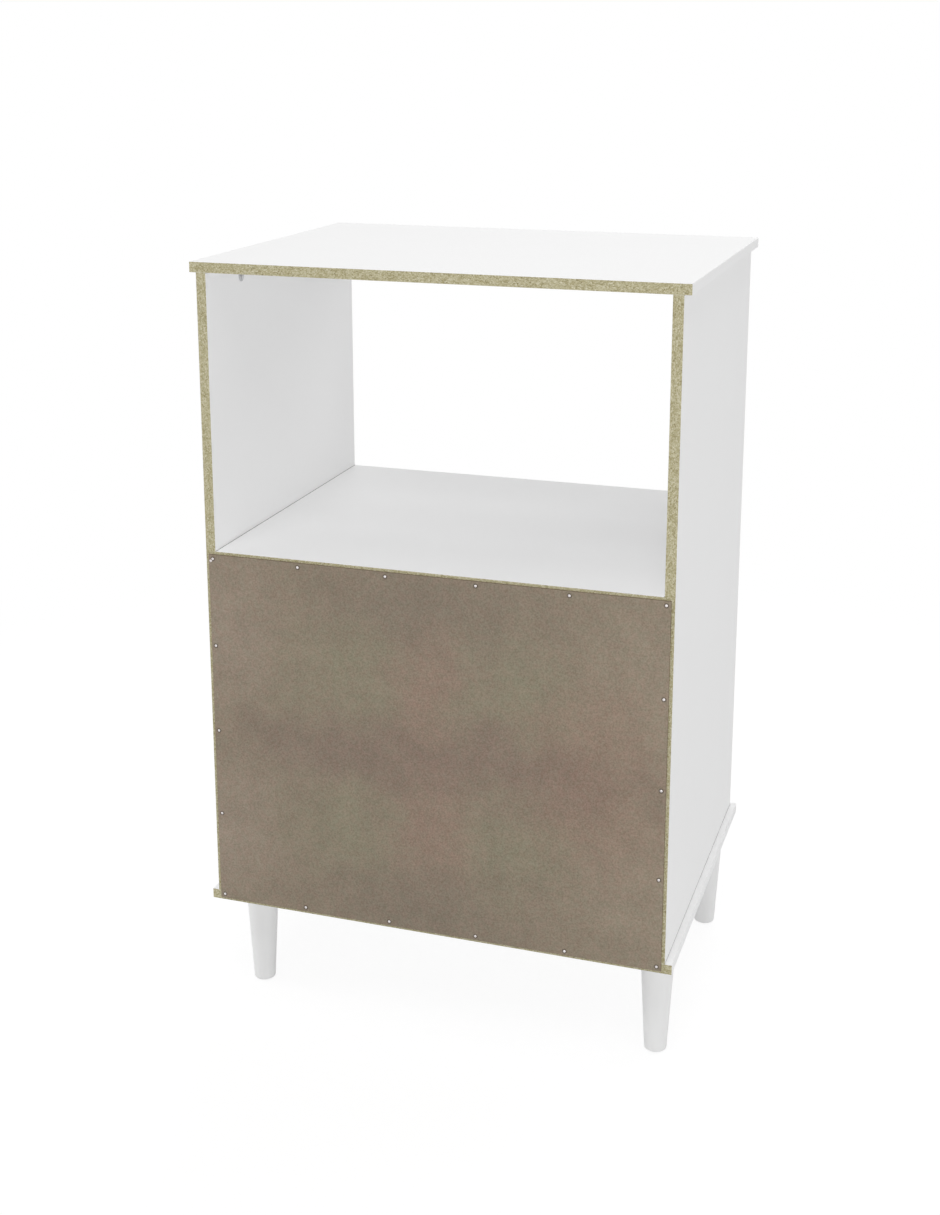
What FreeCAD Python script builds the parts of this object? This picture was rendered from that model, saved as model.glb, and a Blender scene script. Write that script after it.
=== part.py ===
import FreeCAD, Part
import math
import os

# Microwave cabinet of white-faced chipboard on four turned legs.
# Millimetres. +Z is up, the doors face -Y, and the origin is on the floor under the middle.

# Clearances and cutting allowance
fit = 0.05                    # radial room of pins, screws and dowels in their holes
end_room = 0.5                # room past the end of a pin, screw or dowel in its hole
overrun = 1.0                 # how far a cutting tool runs past the face it opens

# Boards of the carcass
board = 15.0                  # thickness of every board
cabinet_width = 720.0         # top and bottom panels
side_overhang = 10.0          # top and bottom panels stand out past each side
front_overhang = 5.0          # and past the front edges of the sides
side_depth = 545.0
niche_height = 411.0          # clear height of the open niche
compartment_height = 532.0    # clear height of the closed compartment
edge_round = 0.8              # rounding of the banded edges

# Hardboard back of the lower compartment and its nails
back_thickness = 3.0
back_side_margin = 5.2        # from its edges to the outer faces of the sides
back_end_margin = 4.4         # from its edges to the shelf top and to the bottom panel's underside
nail_edge = 6.4               # nail rows, from the edges of the back
nails_across = 6
nails_up = 5
nail_head_radius = 2.0
nail_head_thickness = 0.8
nail_radius = 0.8
nail_length = 20.0
spare_nail_shift = 3.4        # second nail of the corner that is nailed twice, outwards and down

# Cam locks, their bolts and the dowels of the six board joints
cam_radius = 9.5
cam_depth = 12.5
cam_from_edge = 18.0          # cam centre to the end of its board
cam_inset = 115.0             # cams from the front and rear ends of the joint
base_cam_inset = 180.0        # the same at the bottom panel, clear of the legs
cam_slot_length = 11.0
cam_slot_width = 1.4
cam_slot_depth = 2.5
bolt_shank_radius = 3.0
bolt_neck_radius = 2.0
bolt_head_length = 3.0
bolt_thread_radius = 2.5
bolt_thread_length = 11.0
bolt_bore_radius = 4.0
dowel_radius = 4.0
dowel_in_edge = 18.0
dowel_in_face = 11.0
dowel_inset = 49.5            # dowels from the front and rear ends of the joint

# Loose inner shelf on four pins
inner_shelf_height = 258.0    # underside of the inner shelf over the bottom panel
inner_shelf_side_gap = 1.5
inner_shelf_rear_gap = 4.0
inner_shelf_setback = 40.0    # front edge behind the front edges of the sides
shelf_pin_radius = 2.5
shelf_pin_collar_radius = 4.5
shelf_pin_in_side = 9.0
shelf_pin_reach = 10.0
shelf_pin_inset = 60.0        # pins from the front and rear edges of the inner shelf

# Legs, their plates, bolts and glides
leg_length = 176.5
leg_top_radius = 26.7
leg_foot_radius = 16.8
leg_foot_round = 2.5
leg_top_round = 1.0
leg_side_inset = 39.0         # leg axis from the side edge of the bottom panel
leg_rear_inset = 93.0         # leg axis from its rear edge
leg_front_inset = 59.0        # leg axis from its front edge
plate_size = 66.0
plate_thickness = 2.5
plate_corner = 7.0
plate_hole_inset = 7.0
collar_radius = 6.5
collar_height = 8.0
collar_room = 0.3
leg_bolt_radius = 4.0
leg_bolt_in_leg = 36.0
glide_radius = 11.0
glide_thickness = 3.0
glide_round = 1.2
glide_nail_radius = 1.5
glide_nail_length = 14.0

# Inset doors and their knobs
door_gap = 2.5                # round each door and between the two
knob_radius = 15.0
knob_reach = 24.0
knob_from_edge = 32.0         # knob axis from the meeting edge of its door
knob_from_top = 75.0
knob_foot_radius = 8.0
knob_neck_radius = 6.0
knob_foot_height = 2.5
knob_neck_height = 10.0
knob_belly_height = 17.0
knob_round = 1.5
knob_screw_radius = 2.0
knob_screw_in_knob = 12.0
knob_screw_head_radius = 4.0
knob_screw_head = 2.4

# Concealed hinges: a cup in the door turns on a pin in the eye of a cranked arm
hinge_from_end = 85.0         # hinge centres from the ends of the door
opening_angle = 110.0         # degrees that the doors swing
swing_room = 0.4              # front corner of the turning door to the side panel
cup_radius = 17.5
cup_depth = 12.0
cup_wall = 1.0
cup_floor = 0.8
cup_edge_margin = 3.0         # cup bore to the hinged edge of the door
flange_width = 2.0            # rim of the cup on the door's inner face
flange_thickness = 1.2
ear_pitch = 48.0              # the two screws of a cup
ear_radius = 7.0
ear_offset = 5.0              # further from the hinged edge than the cup centre
hinge_pin_radius = 1.5
pin_lug_wall = 1.6            # lugs of the cup round the pin
pin_lug_room = 0.4            # lugs beside the eye of the arm
pin_grip = 4.0                # pin inside each lug
eye_radius = 2.8
eye_room = 0.4                # eye of the arm over the floor of the cup
arm_width = 10.0
arm_thickness = 2.5
arm_room = 0.5                # crank of the arm round the turning door edge
crank_lap = 2.0               # degrees of the crank's arc past the opening angle
tail_width = 12.0
tail_wall = 1.5
tail_length = 44.0
rail_width = 8.6
rail_height = 8.5
rail_length = 36.0
rail_end_gap = 2.0            # rail end short of the end of the tail
wing_thickness = 2.0
wing_room = 0.5               # walls of the tail over the wings of the plate
wing_length = 46.0
wing_width = 12.0
wing_corner = 4.0
wing_setback = 37.0           # plate screws behind the front edge of the side
wing_screw_pitch = 32.0
arm_screw_from_end = 10.0

# Small wood screws
screw_radius = 1.75
screw_head_radius = 3.6
screw_head = 2.0
screw_length = 12.0
screw_crown_share = 0.7       # flat crown of the head
screw_tip_share = 0.25        # pointed part of the shank

# Magnet catches under the niche shelf and their strike plates on the doors
catch_from_centre = 60.0
catch_length = 30.0
catch_depth = 14.0
catch_height = 13.0
catch_round = 2.0
catch_ear_length = 11.0
catch_ear_thickness = 3.0
catch_room = 0.3              # strike plate to the poles of the catch with the door shut
magnet_length = 14.0
magnet_depth = 9.0
magnet_height = 6.0
pole_thickness = 2.0          # steel plates on both ends of the magnet
strike_length = 26.0
strike_height = 11.0
strike_thickness = 1.2
strike_corner = 2.0
strike_drop = 8.0             # middle of the strike plate under the niche shelf

# Places worked out from the sizes above
half_width = cabinet_width / 2
side_out_x = half_width - side_overhang
side_in_x = side_out_x - board
front_reach = max(side_depth + front_overhang, side_depth + knob_reach)
back_reach = back_thickness + nail_head_thickness
rear_y = (front_reach - back_reach) / 2
front_y = rear_y - side_depth
panel_front_y = front_y - front_overhang
underside_z = glide_thickness + leg_length + plate_thickness
base_top_z = underside_z + board
shelf_under_z = base_top_z + compartment_height
shelf_top_z = shelf_under_z + board
side_top_z = shelf_top_z + niche_height
back_half_width = side_out_x - back_side_margin
back_bottom_z = underside_z + back_end_margin
back_top_z = shelf_top_z - back_end_margin

# Hinge axis, seen from above: x from the inner face of the side, y from its front edge
pin_y = board - cup_depth + cup_floor + eye_room + eye_radius
free_gap = door_gap - swing_room
pin_from_edge = (pin_y ** 2 - free_gap ** 2) / (2 * free_gap)
pin_x = door_gap + pin_from_edge
cup_x = door_gap + cup_edge_margin + cup_radius
crank_inner = math.hypot(pin_from_edge, board - pin_y) + arm_room
crank_outer = crank_inner + arm_thickness
crank_angle = opening_angle + crank_lap

# Doors
door_bottom_z = base_top_z + door_gap
door_top_z = shelf_under_z - door_gap
door_hinge_edge_x = side_in_x - door_gap
door_meeting_edge_x = door_gap / 2
door_back_y = front_y + board
hinge_heights = {"upper": door_top_z - hinge_from_end, "lower": door_bottom_z + hinge_from_end}
knob_x = door_meeting_edge_x + knob_from_edge
knob_z = door_top_z - knob_from_top

RIGHT = FreeCAD.Vector(1, 0, 0)
REAR = FreeCAD.Vector(0, 1, 0)
UP = FreeCAD.Vector(0, 0, 1)
ORIGIN = FreeCAD.Vector(0, 0, 0)
SIDES = {"left": -1, "right": 1}


def at(x, y, z):
    return FreeCAD.Vector(x, y, z)


def block(x0, x1, y0, y1, z0, z1):
    """Box between two opposite corners."""
    return Part.makeBox(x1 - x0, y1 - y0, z1 - z0, at(x0, y0, z0))


def rod(radius, length, start, direction):
    return Part.makeCylinder(radius, length, start, direction)


def turned(profile):
    """Solid turned about Z from points of (radius, height)."""
    points = [at(radius, 0, height) for radius, height in profile]
    return Part.Face(Part.makePolygon(points + points[:1])).revolve(ORIGIN, UP, 360)


def placed(shape, origin, axis, toward):
    """Copy of a shape with its Z along axis and its X along toward."""
    copy = shape.copy()
    turn = FreeCAD.Rotation(toward, axis.cross(toward), axis, "ZXY")
    copy.Placement = FreeCAD.Placement(origin, turn)
    return copy


def drilled(body, tools):
    """Body with every one of the tools that reaches it cut away."""
    near = [tool for tool in tools if tool.BoundBox.intersect(body.BoundBox)]
    return body.cut(near).Solids[0] if near else body


def mirrored(shape):
    return shape.mirror(ORIGIN, RIGHT)


def rounded(body, radius, chosen):
    """Body with the chosen edges rounded; chosen gets each edge's middle."""
    return body.makeFillet(radius, [edge for edge in body.Edges if chosen(edge.CenterOfMass)])


def screw(length):
    """Wood screw along Z with its head over the plane z = 0."""
    shank_end = -length * (1 - screw_tip_share)
    crown = screw_head_radius * screw_crown_share
    return turned([(0, -length), (screw_radius, shank_end), (screw_radius, 0),
                   (screw_head_radius, 0), (crown, screw_head), (0, screw_head)])


def screw_hole(length):
    start = at(0, 0, -length - end_room)
    return rod(screw_radius + fit, length + end_room + overrun, start, UP)


def wide_panel(bottom_z):
    """Top or bottom panel: all edges banded and rounded but the rear one."""
    body = block(-half_width, half_width, panel_front_y, rear_y, bottom_z, bottom_z + board)
    return rounded(body, edge_round, lambda middle: middle.y < rear_y - edge_round)


def side_panel(sign):
    """Side panel, with its two long front edges rounded."""
    near_x, far_x = sorted((sign * side_in_x, sign * side_out_x))
    body = block(near_x, far_x, front_y, rear_y, base_top_z, side_top_z)
    half_way_z = (base_top_z + side_top_z) / 2
    return rounded(body, edge_round, lambda middle: middle.y < front_y + edge_round
                   and abs(middle.z - half_way_z) < board)


def niche_shelf():
    body = block(-side_in_x, side_in_x, front_y, rear_y, shelf_under_z, shelf_top_z)
    return rounded(body, edge_round, lambda middle: middle.y < front_y + edge_round
                   and abs(middle.x) < board)


def back_panel():
    return block(-back_half_width, back_half_width, rear_y, rear_y + back_thickness,
                 back_bottom_z, back_top_z)


def nail_places():
    """Nails round the rim of the back, with one corner nailed twice."""
    reach_x = back_half_width - nail_edge
    low_z = back_bottom_z + nail_edge
    high_z = back_top_z - nail_edge
    across = [-reach_x + 2 * reach_x * step / (nails_across - 1) for step in range(nails_across)]
    up = [low_z + (high_z - low_z) * step / (nails_up - 1) for step in range(nails_up)]
    places = [(x, z) for x in across for z in (low_z, high_z)]
    places += [(x, z) for x in (-reach_x, reach_x) for z in up[1:-1]]
    places.append((reach_x + spare_nail_shift, high_z - spare_nail_shift))
    return places


def nails():
    """Round-headed nails through the back, and the holes that they make."""
    face_y = rear_y + back_thickness
    solids, holes = [], []
    for x, z in nail_places():
        head = rod(nail_head_radius, nail_head_thickness, at(x, face_y, z), REAR)
        shank = rod(nail_radius, nail_length, at(x, face_y, z), -REAR)
        solids.append(head.fuse(shank).removeSplitter())
        holes.append(rod(nail_radius + fit, nail_length + end_room + overrun,
                         at(x, face_y + overrun, z), -REAR))
    return solids, holes


def cam_lock():
    """Cam: a disc from z = 0 down, with a pocket for the bolt along X and a cross slot."""
    disc = rod(cam_radius, cam_depth, at(0, 0, -cam_depth), UP)
    pocket_end = bolt_head_length / 2 + end_room
    pocket = rod(bolt_shank_radius + fit, pocket_end + cam_radius + overrun,
                 at(-pocket_end, 0, -board / 2), RIGHT)
    half_length = cam_slot_length / 2
    half_slot = cam_slot_width / 2
    slot = block(-half_length, half_length, -half_slot, half_slot, -cam_slot_depth, overrun)
    cross = block(-half_slot, half_slot, -half_length, half_length, -cam_slot_depth, overrun)
    return disc.cut([pocket, slot, cross]).Solids[0]


def cam_bolt():
    """Cam bolt along Z: thread above z = 0, shank, neck and head below."""
    head_top = -cam_from_edge + bolt_head_length / 2
    head_end = -cam_from_edge - bolt_head_length / 2
    rim = -cam_from_edge + cam_radius
    return turned([(0, head_end), (bolt_shank_radius, head_end), (bolt_shank_radius, head_top),
                   (bolt_neck_radius, head_top), (bolt_neck_radius, rim), (bolt_shank_radius, rim),
                   (bolt_shank_radius, 0), (bolt_thread_radius, 0),
                   (bolt_thread_radius, bolt_thread_length), (0, bolt_thread_length)])


def board_joints():
    """Board joints: a point in the middle of the joint's end board, the way into the
    other board, the way out of the inner face of the end board, and the cams' inset."""
    side_middle_x = (side_in_x + side_out_x) / 2
    shelf_middle_z = (shelf_under_z + shelf_top_z) / 2
    joints = []
    for sign in SIDES.values():
        inward = RIGHT * -sign
        joints.append((at(sign * side_middle_x, 0, side_top_z), UP, inward, cam_inset))
        joints.append((at(sign * side_middle_x, 0, base_top_z), -UP, inward, base_cam_inset))
        joints.append((at(sign * side_in_x, 0, shelf_middle_z), -inward, -UP, cam_inset))
    return joints


def joinery():
    """Cams, bolts and dowels of all the board joints, and the holes for them."""
    cams, bolts, dowels, holes = [], [], [], []
    cam = cam_lock()
    bolt = cam_bolt()
    for middle, into, inner, inset in board_joints():
        for y in (rear_y - inset, front_y + inset):
            meeting = middle + REAR * y
            face = meeting - into * cam_from_edge + inner * (board / 2)
            cams.append(placed(cam, face, inner, into))
            bolts.append(placed(bolt, meeting, into, inner))
            holes.append(rod(cam_radius + fit, cam_depth + overrun, face + inner * overrun, -inner))
            holes.append(rod(bolt_bore_radius, cam_from_edge, meeting, -into))
            holes.append(rod(bolt_thread_radius + fit, bolt_thread_length + end_room, meeting, into))
        for y in (rear_y - dowel_inset, front_y + dowel_inset):
            start = middle + REAR * y - into * dowel_in_edge
            dowels.append(rod(dowel_radius, dowel_in_edge + dowel_in_face, start, into))
            holes.append(rod(dowel_radius + fit, dowel_in_edge + dowel_in_face + 2 * end_room,
                             start - into * end_room, into))
    return cams, bolts, dowels, holes


def inner_shelf():
    half = side_in_x - inner_shelf_side_gap
    bottom = base_top_z + inner_shelf_height
    front = front_y + inner_shelf_setback
    body = block(-half, half, front, rear_y - inner_shelf_rear_gap, bottom, bottom + board)
    return rounded(body, edge_round, lambda middle: middle.y < front + edge_round
                   and abs(middle.x) < board)


def shelf_pins():
    """Stepped pegs in the sides, under the inner shelf, and their holes."""
    z = base_top_z + inner_shelf_height - shelf_pin_radius
    front = front_y + inner_shelf_setback + shelf_pin_inset
    rear = rear_y - inner_shelf_rear_gap - shelf_pin_inset
    collar_width = inner_shelf_side_gap - end_room
    solids, holes = [], []
    for sign in SIDES.values():
        inward = RIGHT * -sign
        for y in (front, rear):
            face = at(sign * side_in_x, y, z)
            peg = rod(shelf_pin_radius, shelf_pin_in_side + shelf_pin_reach,
                      face - inward * shelf_pin_in_side, inward)
            collar = rod(shelf_pin_collar_radius, collar_width, face, inward)
            solids.append(peg.fuse(collar).removeSplitter())
            holes.append(rod(shelf_pin_radius + fit, shelf_pin_in_side + end_room + overrun,
                             face + inward * overrun, -inward))
    return solids, holes


def leg_places():
    """Leg axes on the floor, by name."""
    x = half_width - leg_side_inset
    rows = {"front": panel_front_y + leg_front_inset, "rear": rear_y - leg_rear_inset}
    return {f"{row}_{side}": at(sign * x, y, 0)
            for row, y in rows.items() for side, sign in SIDES.items()}


def leg(place):
    """Turned, tapered leg with its bolt hole above and its glide's nail hole below."""
    body = Part.makeCone(leg_foot_radius, leg_top_radius, leg_length)
    body = rounded(body, leg_foot_round, lambda middle: middle.z < leg_foot_round)
    top_edges = [edge for edge in body.Edges if edge.BoundBox.ZMin > leg_length - fit]
    body = body.makeFillet(leg_top_round, top_edges)
    bolt_hole = rod(leg_bolt_radius + fit, leg_bolt_in_leg + end_room + overrun,
                    at(0, 0, leg_length + overrun), -UP)
    nail_hole = rod(glide_nail_radius + fit, glide_nail_length + end_room + overrun,
                    at(0, 0, -overrun), UP)
    body = body.cut([bolt_hole, nail_hole]).Solids[0]
    body.translate(place + UP * glide_thickness)
    return body


def leg_glide(place):
    """Nail-on plastic glide under a leg."""
    pad = rod(glide_radius, glide_thickness, ORIGIN, UP)
    pad = rounded(pad, glide_round, lambda middle: middle.z < glide_round)
    nail = rod(glide_nail_radius, glide_thickness + glide_nail_length - glide_round,
               UP * glide_round, UP)
    body = pad.fuse(nail).removeSplitter()
    body.translate(place)
    return body


def leg_plate(place):
    """Square steel plate under the bottom panel, with a threaded collar set into the board."""
    half = plate_size / 2
    body = block(-half, half, -half, half, 0, plate_thickness)
    body = body.makeFillet(plate_corner, [edge for edge in body.Edges
                                          if edge.BoundBox.ZLength > plate_thickness / 2])
    collar = rod(collar_radius, plate_thickness + collar_height, ORIGIN, UP)
    bore = rod(leg_bolt_radius + fit, plate_thickness + collar_height + 2 * overrun,
               UP * -overrun, UP)
    body = body.fuse(collar).removeSplitter().cut(bore)
    body.translate(place + UP * (glide_thickness + leg_length))
    return body


def leg_bolt(place):
    """Hanger bolt from the collar of the plate down into the leg."""
    length = collar_height + plate_thickness + leg_bolt_in_leg
    return rod(leg_bolt_radius, length, place + UP * (underside_z + collar_height), -UP)


def leg_screws(place):
    """The four screws of a leg plate, from below, and their holes."""
    reach = plate_size / 2 - plate_hole_inset
    corners = [at(x, y, 0) for x in (-reach, reach) for y in (-reach, reach)]
    seats = [place + corner + UP * (glide_thickness + leg_length) for corner in corners]
    solids = [placed(screw(screw_length), seat, -UP, RIGHT) for seat in seats]
    holes = [placed(screw_hole(screw_length), seat, -UP, RIGHT) for seat in seats]
    return solids, holes


def collar_hole(place):
    start = place + UP * (underside_z - overrun)
    return rod(collar_radius + collar_room, collar_height + collar_room + overrun, start, UP)


def hinge_to_left(shape, height):
    """Hinge piece moved from the hinge's own corner to the left side at a height."""
    copy = shape.copy()
    copy.translate(at(-side_in_x, front_y, height))
    return copy


def cup_ear_places():
    return [at(cup_x + ear_offset, board + flange_thickness, z) for z in (-ear_pitch / 2, ear_pitch / 2)]


def hinge_cup():
    """Drawn steel cup with a flange, two screw ears and two lugs for the pin."""
    bottom = at(cup_x, board - cup_depth, 0)
    shell = rod(cup_radius - fit, cup_depth, bottom, REAR)
    rim = rod(cup_radius + flange_width, flange_thickness, at(cup_x, board, 0), REAR)
    ears = [rod(ear_radius, flange_thickness, place - REAR * flange_thickness, REAR)
            for place in cup_ear_places()]
    bridge = block(cup_x + ear_offset - ear_radius, cup_x + ear_offset + ear_radius, board,
                   board + flange_thickness, -ear_pitch / 2, ear_pitch / 2)
    body = shell.fuse([rim, bridge] + ears).removeSplitter()
    hollow = rod(cup_radius - cup_wall, cup_depth + flange_thickness + overrun,
                 bottom + REAR * cup_floor, REAR)
    lug_reach = hinge_pin_radius + pin_lug_wall
    lug_start = arm_width / 2 + pin_lug_room
    lugs = block(pin_x - lug_reach, pin_x + lug_reach, board - cup_depth, pin_y + lug_reach,
                 -cup_radius, cup_radius).common(shell)
    lugs = lugs.cut(block(0, cup_x, 0, board, -lug_start, lug_start))
    half_pin = hinge_pin_half()
    pin_hole = rod(hinge_pin_radius + fit, 2 * (half_pin + end_room),
                   at(pin_x, pin_y, -half_pin - end_room), UP)
    screw_holes = [placed(screw_hole(screw_length), place, REAR, RIGHT) for place in cup_ear_places()]
    body = body.cut(hollow).fuse(lugs.Solids).removeSplitter()
    return body.cut([pin_hole] + screw_holes).Solids[0]


def hinge_pin_half():
    """Half the length of a hinge pin."""
    return arm_width / 2 + pin_lug_room + pin_grip


def hinge_pin():
    """Pin through the eye of the arm, held in the two lugs of the cup."""
    half = hinge_pin_half()
    return rod(hinge_pin_radius, 2 * half, at(pin_x, pin_y, -half), UP)


def hinge_arm():
    """Cranked arm: an eye on the pin, an arc that goes round the turning edge of the door,
    and a channel-shaped tail that slides over the rail of the plate."""
    low = -arm_width / 2
    eye = rod(eye_radius, arm_width, at(pin_x, pin_y, low), UP)
    neck = block(pin_x, pin_x + crank_outer, pin_y - arm_thickness / 2, pin_y + arm_thickness / 2,
                 low, -low)
    axis_start = at(pin_x, pin_y, low)
    sector = Part.makeCylinder(crank_outer, arm_width, axis_start, UP, crank_angle)
    crank = sector.cut(rod(crank_inner, arm_width, axis_start, UP))
    tail_start = pin_y + crank_inner
    tail_end = tail_start + tail_length
    tail = block(wing_thickness + wing_room, rail_height + tail_wall, tail_start, tail_end,
                 -tail_width / 2, tail_width / 2)
    inner_half = rail_width / 2 + fit
    channel = block(0, rail_height, tail_end - rail_end_gap - rail_length - overrun, tail_end + overrun,
                    -inner_half, inner_half)
    bore = rod(hinge_pin_radius + fit, arm_width + 2 * overrun, axis_start - UP * overrun, UP)
    hole = placed(screw_hole(rail_height), arm_screw_place(), RIGHT, UP)
    body = eye.fuse([neck, crank, tail]).removeSplitter()
    return body.cut([channel, bore, hole]).Solids[0]


def wing_screw_places():
    return [at(wing_thickness, wing_setback, z) for z in (-wing_screw_pitch / 2, wing_screw_pitch / 2)]


def arm_screw_place():
    tail_end = pin_y + crank_inner + tail_length
    return at(rail_height + tail_wall, tail_end - arm_screw_from_end, 0)


def hinge_plate():
    """Cross-shaped plate on the side panel: two wings for screws and a rail for the arm."""
    rail_end = pin_y + crank_inner + tail_length - rail_end_gap
    rail = block(0, rail_height, rail_end - rail_length, rail_end, -rail_width / 2, rail_width / 2)
    wings = block(0, wing_thickness, wing_setback - wing_width / 2, wing_setback + wing_width / 2,
                  -wing_length / 2, wing_length / 2)
    wings = wings.makeFillet(wing_corner, [edge for edge in wings.Edges
                                           if edge.BoundBox.XLength > wing_thickness / 2])
    holes = [placed(screw_hole(screw_length), place, RIGHT, UP) for place in wing_screw_places()]
    holes.append(placed(screw_hole(rail_height), arm_screw_place(), RIGHT, UP))
    return rail.fuse(wings).removeSplitter().cut(holes).Solids[0]


def carcass_hinge_screws():
    """Screws of one hinge plate and of its arm."""
    solids = [placed(screw(screw_length), place, RIGHT, UP) for place in wing_screw_places()]
    solids.append(placed(screw(rail_height), arm_screw_place(), RIGHT, UP))
    return solids


def side_hinge_holes():
    """Holes in the left side for the plate screws of both hinges."""
    holes = [placed(screw_hole(screw_length), place, RIGHT, UP) for place in wing_screw_places()]
    return [hinge_to_left(hole, height) for hole in holes for height in hinge_heights.values()]


def cup_screws():
    return [placed(screw(screw_length), place, REAR, RIGHT) for place in cup_ear_places()]


def door_cuts():
    """Cup bores and screw holes in the left door."""
    bore = rod(cup_radius, cup_depth + overrun, at(cup_x, board + overrun, 0), -REAR)
    holes = [placed(screw_hole(screw_length), place, REAR, RIGHT) for place in cup_ear_places()]
    cuts = [hinge_to_left(cut, height) for cut in [bore] + holes for height in hinge_heights.values()]
    cuts.append(rod(knob_screw_radius + fit, board + 2 * overrun,
                    at(-knob_x, front_y - overrun, knob_z), REAR))
    cuts.append(placed(screw_hole(screw_length), strike_screw_place(), REAR, RIGHT))
    return cuts


def left_door():
    body = block(-door_hinge_edge_x, -door_meeting_edge_x, front_y, door_back_y,
                 door_bottom_z, door_top_z)
    return drilled(body.makeFillet(edge_round, body.Edges), door_cuts())


def left_knob():
    """Turned knob: foot, waisted neck and a domed face, with a blind hole for its screw."""
    face = at(0, 0, knob_reach)
    shoulder = at(knob_radius, 0, knob_belly_height)
    rise = knob_reach - knob_belly_height
    dome_radius = (knob_radius ** 2 + rise ** 2) / (2 * rise)
    half_out = knob_radius / 2
    drop = dome_radius - math.sqrt(dome_radius ** 2 - half_out ** 2)
    dome = at(half_out, 0, knob_reach - drop)
    outline = [ORIGIN, at(knob_foot_radius, 0, 0), at(knob_foot_radius, 0, knob_foot_height),
               at(knob_neck_radius, 0, knob_neck_height), shoulder]
    edges = Part.makePolygon(outline).Edges
    edges.append(Part.Arc(shoulder, dome, face).toShape())
    edges.append(Part.makeLine(face, ORIGIN))
    body = Part.Face(Part.Wire(edges)).revolve(ORIGIN, UP, 360)
    rim = [edge for edge in body.Edges if edge.BoundBox.XMax > knob_radius - fit
           and edge.BoundBox.ZLength < fit]
    body = body.makeFillet(knob_round, rim)
    hole = rod(knob_screw_radius + fit, knob_screw_in_knob + end_room + overrun, UP * -overrun, UP)
    return placed(body.cut(hole), at(-knob_x, front_y, knob_z), -REAR, RIGHT)


def left_knob_screw():
    """Machine screw from inside the door into the knob."""
    shank = board + knob_screw_in_knob
    crown = knob_screw_head_radius * screw_crown_share
    body = turned([(0, -shank), (knob_screw_radius, -shank), (knob_screw_radius, 0),
                   (knob_screw_head_radius, 0), (crown, knob_screw_head), (0, knob_screw_head)])
    return placed(body, at(-knob_x, door_back_y, knob_z), REAR, RIGHT)


def strike_screw_place():
    return at(-catch_from_centre, door_back_y + strike_thickness, shelf_under_z - strike_drop)


def left_strike():
    """Steel strike plate on the inner face of the door."""
    half_length = strike_length / 2
    half_height = strike_height / 2
    centre_z = shelf_under_z - strike_drop
    body = block(-catch_from_centre - half_length, -catch_from_centre + half_length, door_back_y,
                 door_back_y + strike_thickness, centre_z - half_height, centre_z + half_height)
    body = body.makeFillet(strike_corner, [edge for edge in body.Edges
                                           if edge.BoundBox.YLength > strike_thickness / 2])
    return body.cut(placed(screw_hole(screw_length), strike_screw_place(), REAR, RIGHT))


def catch_screw_places():
    reach = catch_length / 2 + catch_ear_length / 2
    y = catch_front_y() + catch_depth / 2
    return [at(-catch_from_centre + x, y, shelf_under_z - catch_ear_thickness) for x in (-reach, reach)]


def catch_front_y():
    """Front of the catch, clear of the strike plate and of its screw head."""
    return door_back_y + strike_thickness + screw_head + catch_room


def catch_core(near_x, far_x, front, room):
    """Block in the core of the left catch, from front to the rear of the magnet, between two
    places along X from the middle of the catch, with room above and below the magnet."""
    middle_z = shelf_under_z - strike_drop
    half = magnet_height / 2 + room
    return block(-catch_from_centre + near_x, -catch_from_centre + far_x, front,
                 catch_front_y() + magnet_depth, middle_z - half, middle_z + half)


def left_magnet():
    half = magnet_length / 2
    return [catch_core(-half, half, catch_front_y(), 0)]


def left_poles():
    """Steel plates on both ends of the magnet, which reach past the strike's screw head."""
    near = magnet_length / 2
    far = near + pole_thickness
    front = catch_front_y() - screw_head
    return [catch_core(-far, -near, front, 0), catch_core(near, far, front, 0)]


def left_catch():
    """Case of a magnet catch under the niche shelf: a block with a pocket for the magnet and
    its poles, between two screw ears."""
    front = catch_front_y()
    rear = front + catch_depth
    half = catch_length / 2
    reach = half + catch_ear_length
    body = block(-half, half, front, rear, -catch_height, 0)
    body = rounded(body, catch_round, lambda middle: middle.z < -catch_height + fit
                   and abs(middle.x) > half - fit)
    ears = block(-reach, reach, front, rear, -catch_ear_thickness, 0)
    ears = ears.makeFillet(catch_round, [edge for edge in ears.Edges
                                         if edge.BoundBox.ZLength > catch_ear_thickness / 2])
    body = body.fuse(ears).removeSplitter()
    body.translate(at(-catch_from_centre, 0, shelf_under_z))
    core_half = magnet_length / 2 + pole_thickness + fit
    pocket = catch_core(-core_half, core_half, front - overrun, fit)
    holes = [placed(screw_hole(screw_length), place, -UP, RIGHT) for place in catch_screw_places()]
    return body.cut([pocket] + holes).Solids[0]


def left_catch_screws():
    return [placed(screw(screw_length), place, -UP, RIGHT) for place in catch_screw_places()]


def catch_holes():
    holes = [placed(screw_hole(screw_length), place, -UP, RIGHT) for place in catch_screw_places()]
    return holes + [mirrored(hole) for hole in holes]


def both_sides(make):
    """Left solids of a maker and their mirror images."""
    solids = make()
    return solids + [mirrored(solid) for solid in solids]


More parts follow.
